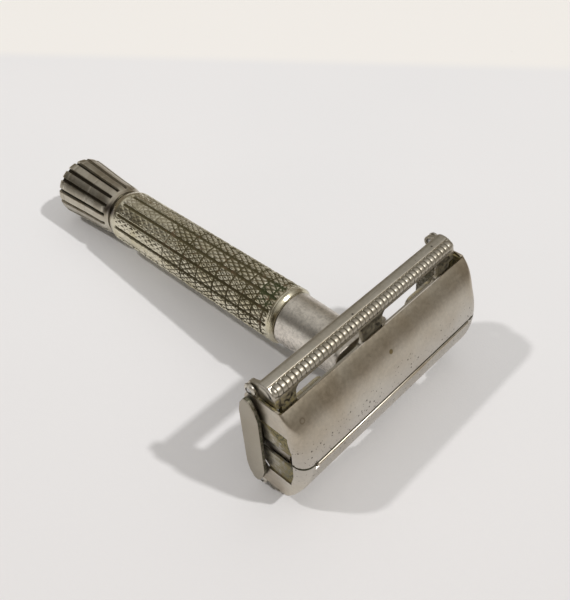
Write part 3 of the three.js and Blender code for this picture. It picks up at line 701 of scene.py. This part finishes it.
def guard_rail(level, side_name):
    outside = smooth_path(RAIL_OUTSIDE, 5)
    section = [*outside, *smooth_path(RAIL_INSIDE, 3)]
    half = GUARD_HALF_LENGTH
    stations = [-half, -half + 0.05, -half + 0.16, -half + 0.4, *np.linspace(-half + 1.5, half - 1.5, 12), half - 0.4,
                half - 0.16, half - 0.05, half]
    shrink = {0: 0.16, 1: 0.06, 2: 0.0}
    middle = np.mean(section, axis=0)
    points = []
    for i, v in enumerate(stations):
        inset = shrink.get(min(i, len(stations) - 1 - i), 0.0)
        for u, w in section:
            away = np.array((u, w)) - middle
            length = np.linalg.norm(away)
            u2, w2 = middle + away * (length - inset) / length
            points.append((u2, v, level * w2))
    faces = grid_faces(len(stations), len(section), closed_columns=True)
    count = len(section)
    faces.append(list(range(count)))
    faces.append([(len(stations) - 1) * count + k for k in reversed(range(count))])
    made = piece(f"guard_rail_{side_name}", points, faces, "handle", "guard_nickel", ["guard_plate"], sharp=38)
    return made


def safety_rope(level, side_name):
    """The row of rounded beads rolled over the crest of one guard rail, with a plain nub at each end."""
    pitch = 2 * ROPE_HALF_LENGTH / BEADS
    shares = (0.0, 0.07, 0.13, 0.2, 0.35, 0.65, 0.8, 0.87, 0.93)
    stations = [(-20.98, 0.4), (-20.95, 0.65), (-20.86, 0.82), (-20.7, 0.9), (-20.45, 0.91)]
    for bead in range(BEADS):
        for share in shares:
            bulge = (1 - abs(2 * share - 1) ** 5) ** 0.8
            stations.append((-ROPE_HALF_LENGTH + (bead + share) * pitch, ROPE_RADIUS + BEAD_HEIGHT * bulge))
    stations += [(-v, radius) for v, radius in reversed(stations[:5])]
    around = 26
    points, grime_and_shade = [], []
    for index, (v, radius) in enumerate(stations):
        dent = 1 - (radius - ROPE_RADIUS) / BEAD_HEIGHT
        lean = 0.05 * math.sin(v * 1.3)
        for j in range(around):
            angle = 2 * math.pi * j / around
            u = ROPE_CENTRE[0] + (radius + lean * 0.2) * math.cos(angle)
            w = ROPE_CENTRE[1] + radius * math.sin(angle)
            points.append((u, v, level * w))
            inner = max(0.0, -math.sin(angle)) * 0.45
            grime_and_shade.append(min(1.0, max(0.0, dent) ** 2 * 1.8 + inner) if 5 <= index < len(stations) - 5 else 0.1)
    faces = grid_faces(len(stations), around, closed_columns=True)
    faces.append(list(range(around)))
    faces.append([(len(stations) - 1) * around + j for j in reversed(range(around))])
    return piece(f"safety_rope_{side_name}", points, faces, "handle", "guard_nickel", (),
                 {"grime_and_shade": grime_and_shade, "matt": np.full(len(points), 0.45)}, sharp=75)


def end_wall(side, level, name):
    """The wall that closes one end of a rail, with the rounded lug that carries a hinge pin."""
    turn = np.linspace(-math.pi / 2, math.pi / 2, 14)
    arc = [(PIVOT_U - LUG_RADIUS * math.cos(a), PIVOT_W + LUG_RADIUS * math.sin(a)) for a in turn]
    outline = [(80.0, 9.3), (77.4, 9.3), *arc, (77.3, 12.6), (79.1, 12.4), (79.8, 11.6)]
    bore = [(PIVOT_U + 0.58 * math.cos(a), PIVOT_W + 0.58 * math.sin(a)) for a in np.linspace(0, 2 * math.pi, 21)[:-1]]
    rings = [[(u, level * w) for u, w in ring] for ring in (outline, bore)]
    points, faces = plate_along_v(rings[0], [rings[1]], *across_side(side, *END_WALL_FACES), 0.1)
    made = piece(f"end_wall_{name}", points, faces, "handle", "guard_nickel")
    mark_vertices(made, "grime_and_shade", lambda u, v, w: 0.35 * ramp(-np.abs(w), -11.5, -9.5))


# ------------------------------------------------------------------ doors


def crown_height(w, inward):
    """Height of a door's outside at w, where inward is the distance from the end of the head."""
    arc = CROWN - DOOR_ARC + np.sqrt(DOOR_ARC ** 2 - w ** 2)
    radius = END_ROUND + (EDGE_ROUND - END_ROUND) * ramp(w, 4.5, 9.5)
    reach = np.minimum(inward, radius)
    return arc - radius + np.sqrt(2 * radius * reach - reach ** 2)


def door_shell(level, name):
    skirt_w, skirt_u = zip(*SKIRT)
    inward = [0.0, 0.012, 0.045, 0.1, 0.18, 0.28, 0.42, 0.6, 0.8, 1.0, 1.25, 1.5, 1.8, 2.1, 2.3]
    skirt_steps = 6
    skirt = [(DOOR_HALF_LENGTH, 0.0, 1 - k / skirt_steps) for k in range(skirt_steps)]
    side = [*skirt, *((DOOR_HALF_LENGTH - x, x, 0.0) for x in inward)]
    stations = [*[(-v, x, drop) for v, x, drop in side], *[(v, 5.0, 0.0) for v in np.linspace(-19.55, 19.55, 70)],
                *reversed(side)]
    across = np.concatenate([[0, 0.05, 0.12, 0.22, 0.36, 0.6, 0.9, 1.06, 1.16, 1.26, 1.36], np.linspace(1.6, 5.4, 16), [5.6, 5.72, 5.8, 5.87, 5.95, 6.1],
                             np.linspace(6.3, 9.5, 13), [9.7, 9.82, 9.9]])
    rows, seam, grime_and_shade, full = [], [], [], []
    for v, x, drop in stations:
        notch = 0.3 * math.exp(-(((abs(v) - SEAM_NOTCH) / 0.25) ** 2))
        gap = SEAM_GAP + notch
        w = gap + across * (DOOR_EDGE - SEAM_GAP - gap) / across[-1]
        w = np.where((across > 5.5) & (across < 6.2), across, w)
        u = crown_height(w, np.full_like(w, x))
        bottom = np.interp(w, skirt_w, skirt_u)
        u = u + drop * np.minimum(0, bottom - u)
        beside_lip = ramp(-abs(v), -LIP_END - 0.25, -LIP_END)
        if level < 0:
            recess = (1 - ramp(w, *RECESS_EDGE)) * beside_lip
            u = u - 0.42 * recess
        rows.append(np.stack([u, np.full_like(w, v), level * w], 1))
        seam.append(1 - ramp(w, 0.5, 7.5))
        seam_dirt = (1 - ramp(w, 0.14, 0.34)) * 1.1
        fold_dirt = (drop > 0) * ramp(-w, -6.6, -5.9) * 0.3
        grime_and_shade.append(seam_dirt + fold_dirt + (recess * 1.1 if level < 0 else 0))
        full.append(np.where((drop > 0) & (w > 5.8), 0.0, 1.0))
    made = piece(f"door_shell_{name}", np.concatenate(rows), grid_faces(len(stations), len(across)), f"{name}_door",
                 "door_nickel", [f"door_{name}"], {"seam": np.concatenate(seam), "grime_and_shade": np.concatenate(grime_and_shade)},
                 sharp=45)
    middle = made.data.polygons[len(made.data.polygons) // 2]
    if middle.normal.dot(U_AXIS) < 0:
        made.data.flip_normals()
    group = made.vertex_groups.new(name="full")
    group.add([int(i) for i in np.flatnonzero(np.concatenate(full))], 1.0, "REPLACE")
    thick = made.modifiers.new("thickness", "SOLIDIFY")
    thick.thickness = DOOR_THICKNESS * MM
    thick.offset = -1
    thick.vertex_group = "full"
    thick.thickness_vertex_group = SKIRT_THICKNESS / DOOR_THICKNESS
    edge = made.modifiers.new("edge", "BEVEL")
    edge.width = 0.08 * MM
    edge.segments = 2
    edge.limit_method = "ANGLE"
    edge.angle_limit = math.radians(50)
    edge.harden_normals = True


def seam_lip():
    """The rounded lip of the lower door, which lies in the seam and stops short of both ends."""
    around = 16
    stations = [LIP_END * math.copysign(1, k) - 0.34 * math.copysign(1 - math.sin(abs(k) * math.pi / 14), k)
                for k in (*range(-7, 0), *range(1, 8))]
    stations = sorted(stations)
    points = []
    for v in stations:
        share = math.sqrt(max(0.02, 1 - max(0.0, (abs(v) - LIP_END + 0.34) / 0.345) ** 2))
        for j in range(around):
            angle = 2 * math.pi * j / around
            w = LIP_W + LIP_HALF_WIDTH * share * math.cos(angle)
            u = CROWN - 0.17 + LIP_HALF_HEIGHT * share * math.sin(angle)
            points.append((u, v, -w))
    faces = grid_faces(len(stations), around, closed_columns=True)
    faces += [list(range(around)), [(len(stations) - 1) * around + j for j in reversed(range(around))]]
    piece("door_lip", points, faces, "lower_door", "door_nickel", (), {"seam": np.zeros(len(points))}, sharp=60)


def cam_slot(level):
    """Outline of the slot that a drive pin sweeps in an ear as the bar rises and the door turns."""
    path = []
    steps = 10
    for step in range(steps + 1):
        turn = OPENING_ANGLE * step / steps
        u = DRIVE_PIN_U + LIFT_TRAVEL * step / steps - PIVOT_U
        w = DRIVE_PIN_W - PIVOT_W
        path.append(Vector((PIVOT_U + u * math.cos(turn) + w * math.sin(turn),
                            PIVOT_W - u * math.sin(turn) + w * math.cos(turn))))
    left, right = [], []
    for i, place in enumerate(path):
        heading = (path[min(i + 1, steps)] - path[max(i - 1, 0)]).normalized()
        across = Vector((-heading.y, heading.x)) * CAM_RADIUS
        left.append(place + across)
        right.append(place - across)
    caps = []
    for centre, start in ((path[-1], left[-1]), (path[0], right[0])):
        arm = start - centre
        caps.append([centre + Matrix.Rotation(-math.pi * k / 8, 2) @ arm for k in range(1, 8)])
    ring = [*left, *caps[0], *reversed(right), *caps[1]]
    return [(place.x, level * place.y) for place in ring]


def door_ear(side, level, end, name):
    outline = fillet([(u, level * w) for u, w in EAR_OUTLINE], 0.35, 4)
    low, high = across_side(side, *EAR_FACES)
    ear = plate_along_v(outline, [cam_slot(level)], low, high, 0.06)
    k_low, k_high = across_side(side, *KNUCKLE_FACES)
    rounding = [(0.0, 0.42), (0.05, 0.22), (0.2, 0.05), (0.42, 0.0)]
    profile = [(k_low, KNUCKLE_BORE)]
    profile += [(k_low + along, KNUCKLE_RADIUS - inset) for along, inset in rounding]
    profile += [(k_high - along, KNUCKLE_RADIUS - inset) for along, inset in reversed(rounding)]
    profile += [(k_high, KNUCKLE_BORE)]
    knuckle = lathe(profile, 40, (PIVOT_U, level * PIVOT_W), along="v")
    made = piece(f"door_ear_{name}_{end}", *merged(ear, knuckle), f"{name}_door", "guard_nickel")
    mark_vertices(made, "grime_and_shade", ear_dirt)
    mark_vertices(made, "straw", lambda u, v, w: 0.6 * (u > 77.2))


def ear_dirt(u, v, w):
    return np.clip(0.3 + 0.6 * ramp(np.abs(w), 4.7, 5.5) * (u > 77.5) + 0.5 * ramp(u, 82.3, 83.2), 0, 1)


def hinge_pin(side, level, end, name):
    """A hinge pin with slightly domed ends."""
    low, high = across_side(side, *HINGE_PIN_ENDS)
    profile = [(low, 0.02), (low + 0.03, 0.3), (low + 0.15, 0.5), (high - 0.15, 0.5), (high - 0.03, 0.3), (high, 0.02)]
    points, faces = lathe(profile, 28, (PIVOT_U, level * PIVOT_W), along="v")
    return piece(f"hinge_pin_{name}_{end}_turned", points, faces, "handle", "steel", [f"hinge_pin_{name}_{end}"])


# ------------------------------------------------------------------ end brackets


def end_bracket(side, end):
    tips = [(u + END_PLATE_CENTRE, w) for u, w in END_PLATE_TIP]
    outline = fillet([*tips, *[(u, -w) for u, w in reversed(tips)]], 1.1, 5)
    cover = plate_along_v(outline, [], *across_side(side, *END_PLATE_FACES), 0.13)
    strip = bent_strip(side)
    length = RISER + STRIP_THICKNESS - FOOT_START
    foot_outline = rounded_box(length / 2, FOOT_HALF_WIDTH, FOOT_CORNER, side * (FOOT_START + length / 2))
    foot = plate_along_u(foot_outline, [], FOOT_LOW, FOOT_HIGH, 0.1)
    wall_outline = rounded_box(1.9, FOOT_HALF_WIDTH - 0.4, 0.4, 77.1)
    wall = plate_along_v(wall_outline, [], *across_side(side, RISER + 0.05, RISER + 0.65), 0.06)
    made = piece(f"end_bracket_{end}_bent", *merged(cover, strip, foot, wall), "handle", "guard_nickel",
                 [f"end_bracket_{end}"])
    mark_vertices(made, "grime_and_shade", lambda u, v, w: 0.7 * (np.abs(v) < END_PLATE_FACES[1] - 0.1) * (np.abs(v) > 19))
    mark_vertices(made, "matt", lambda u, v, w: 0.8 * (np.abs(v) > END_PLATE_FACES[0] - 0.1))
    mark_vertices(made, "straw", lambda u, v, w: 0.6 * (np.abs(v) < 19))
    return made


def bent_strip(side):
    """The strip that drops from the foot, runs outward under the ears and meets the end plate."""
    low, thick = SHELF_LOW, STRIP_THICKNESS
    inner, outer = RISER, END_PLATE_FACES[0] + 0.3
    section = [(inner, FOOT_LOW + 0.3), (inner, low + 0.6), (inner + 0.18, low + 0.18), (inner + 0.6, low),
               (outer, low), (outer, low + thick), (inner + thick + 0.25, low + thick),
               (inner + thick + 0.07, low + thick + 0.07), (inner + thick, low + thick + 0.25),
               (inner + thick, FOOT_LOW + 0.3)]
    count = len(section)
    points = [(u, side * v, w) for w in (-STRIP_HALF_WIDTH, STRIP_HALF_WIDTH) for v, u in section]
    faces = [(k, (k + 1) % count, count + (k + 1) % count, count + k) for k in range(count)]
    faces += [list(range(count)), list(reversed(range(count, 2 * count)))]
    return points, faces


# ------------------------------------------------------------------ the whole razor


def dress_cad_nodes():
    """Gives each CAD node its material, and a small bevel to the lift bar, rod head, knob end plug and end rivets that
    stay visible.
    """
    slot_of = {"lift_bar": "inner_nickel", "rod_head": "inner_nickel", "drive_screw": "brass", "lift_nut": "brass",
               "knob_end_plug": "knob_nickel"}
    for name, node in frame["nodes"].items():
        slot = slot_of.get(name, "steel")
        for holder in node.material_slots:
            holder.material = MATERIALS[slot]
        if node.hide_render:
            continue
        if name in ("lift_bar", "rod_head", "knob_end_plug") or name.startswith("end_rivet"):
            edge = node.modifiers.new("edge", "BEVEL")
            edge.width = 0.06 * MM
            edge.segments = 2
            edge.limit_method = "ANGLE"
            edge.angle_limit = math.radians(40)


twist_knob()
handle_barrel()
neck_tube()
neck_flange()
web = guard_plate()
mark_vertices(web, "grime_and_shade", guard_dirt)
mark_vertices(web, "straw", lambda u, v, w: ramp(np.abs(np.abs(v) - 9.65), 6.9, 7.5) * ramp(np.abs(w), 6.5, 7.5)
              * (0.45 + 0.5 * (v < -16)))
for level_name, level in LEVELS.items():
    guard_rail(level, level_name)
    safety_rope(level, level_name)
    door_shell(level, level_name)
    for end_name, side in ENDS.items():
        door_ear(side, level, end_name, level_name)
        hinge_pin(side, level, end_name, level_name)
        end_wall(side, level, f"{level_name}_{end_name}")
seam_lip()
for end_name, side in ENDS.items():
    end_bracket(side, end_name)
dress_cad_nodes()

# ------------------------------------------------------------------ floor, light and camera


def floor():
    mesh = bpy.data.meshes.new("floor")
    work = bmesh.new()
    bmesh.ops.create_grid(work, x_segments=8, y_segments=8, size=0.45)
    work.to_mesh(mesh)
    work.free()
    made = bpy.data.objects.new("floor", mesh)
    bpy.context.scene.collection.objects.link(made)
    made.data.materials.append(floor_paper())


def lamp(name, azimuth, elevation, strength, colour, angle):
    """A distant lamp, given by where its light comes from."""
    data = bpy.data.lights.new(name, "SUN")
    data.energy = strength
    data.color = colour
    data.angle = math.radians(angle)
    made = bpy.data.objects.new(name, data)
    bpy.context.scene.collection.objects.link(made)
    a, e = math.radians(azimuth), math.radians(elevation)
    towards = Vector((math.cos(a) * math.cos(e), math.sin(a) * math.cos(e), math.sin(e)))
    made.rotation_euler = towards.to_track_quat("Z", "Y").to_euler()
    return made


def room():
    """A soft room: a pale ceiling, browner walls towards the horizon, and a dark corner to the left."""
    world = bpy.data.worlds.new("room")
    bpy.context.scene.world = world
    world.use_nodes = True
    tree = world.node_tree
    background = tree.nodes["Background"]
    coordinates = tree.nodes.new("ShaderNodeTexCoord")
    split = tree.nodes.new("ShaderNodeSeparateXYZ")
    tree.links.new(coordinates.outputs["Generated"], split.inputs[0])
    tones = tree.nodes.new("ShaderNodeValToRGB")
    tree.links.new(split.outputs["Z"], tones.inputs["Fac"])
    stops = [(0.0, (0.19, 0.16, 0.125)), (0.3, (0.21, 0.185, 0.145)), (0.6, (0.35, 0.335, 0.31)),
             (0.82, (0.60, 0.585, 0.56)), (1.0, (0.55, 0.545, 0.54))]
    while len(tones.color_ramp.elements) < len(stops):
        tones.color_ramp.elements.new(0.5)
    for element, (place, colour) in zip(tones.color_ramp.elements, stops):
        element.position = place
        element.color = (*colour, 1.0)
    dark_corner = around(tree, coordinates, (-0.51, -0.74, 0.44), 0.72, 0.95, 1.0, 0.3)
    low_window = around(tree, coordinates, (-0.46, -0.87, 0.14), 0.975, 0.993, 0.0, 1.6)
    dimmed = tree.nodes.new("ShaderNodeVectorMath")
    dimmed.operation = "SCALE"
    tree.links.new(tones.outputs["Color"], dimmed.inputs[0])
    tree.links.new(dark_corner, dimmed.inputs["Scale"])
    lit = tree.nodes.new("ShaderNodeVectorMath")
    lit.operation = "ADD"
    tree.links.new(dimmed.outputs["Vector"], lit.inputs[0])
    tree.links.new(low_window, lit.inputs[1])
    tree.links.new(lit.outputs["Vector"], background.inputs["Color"])


def around(tree, coordinates, direction, outer, inner, outside, inside):
    """A value that goes from outside to inside as the view nears a direction; outer and inner are cosines."""
    facing = tree.nodes.new("ShaderNodeVectorMath")
    facing.operation = "DOT_PRODUCT"
    tree.links.new(coordinates.outputs["Generated"], facing.inputs[0])
    facing.inputs[1].default_value = direction
    blend = tree.nodes.new("ShaderNodeMapRange")
    blend.interpolation_type = "SMOOTHSTEP"
    tree.links.new(facing.outputs["Value"], blend.inputs["Value"])
    for socket, value in (("From Min", outer), ("From Max", inner), ("To Min", outside), ("To Max", inside)):
        blend.inputs[socket].default_value = value
    return blend.outputs["Result"]


def camera():
    """The photograph's viewpoint: from above the near corner of the head, looking back along the handle."""
    data = bpy.data.cameras.new("camera")
    data.sensor_width = 36.0
    data.lens = 45.58
    data.clip_start = 0.005
    made = bpy.data.objects.new("camera", data)
    bpy.context.scene.collection.objects.link(made)
    made.location = (0.0790942, -0.0641424, 0.1102407)
    heading, down, roll = math.radians(133.522), math.radians(47.183), math.radians(-0.268)
    forward = Vector((math.cos(heading) * math.cos(down), math.sin(heading) * math.cos(down), -math.sin(down)))
    aim = forward.to_track_quat("-Z", "Y").to_matrix() @ Matrix.Rotation(-roll, 3, "Z")
    made.rotation_euler = aim.to_euler()
    bpy.context.scene.camera = made


floor()
lamp("lamp_right", 27.8, 53.6, 1.34, (1.0, 0.985, 0.965), 2.6)
lamp("lamp_left", -134.9, 54.1, 0.93, (1.0, 0.975, 0.95), 3.0).visible_glossy = False
room()
camera()
bpy.context.scene.view_settings.view_transform = "Standard"
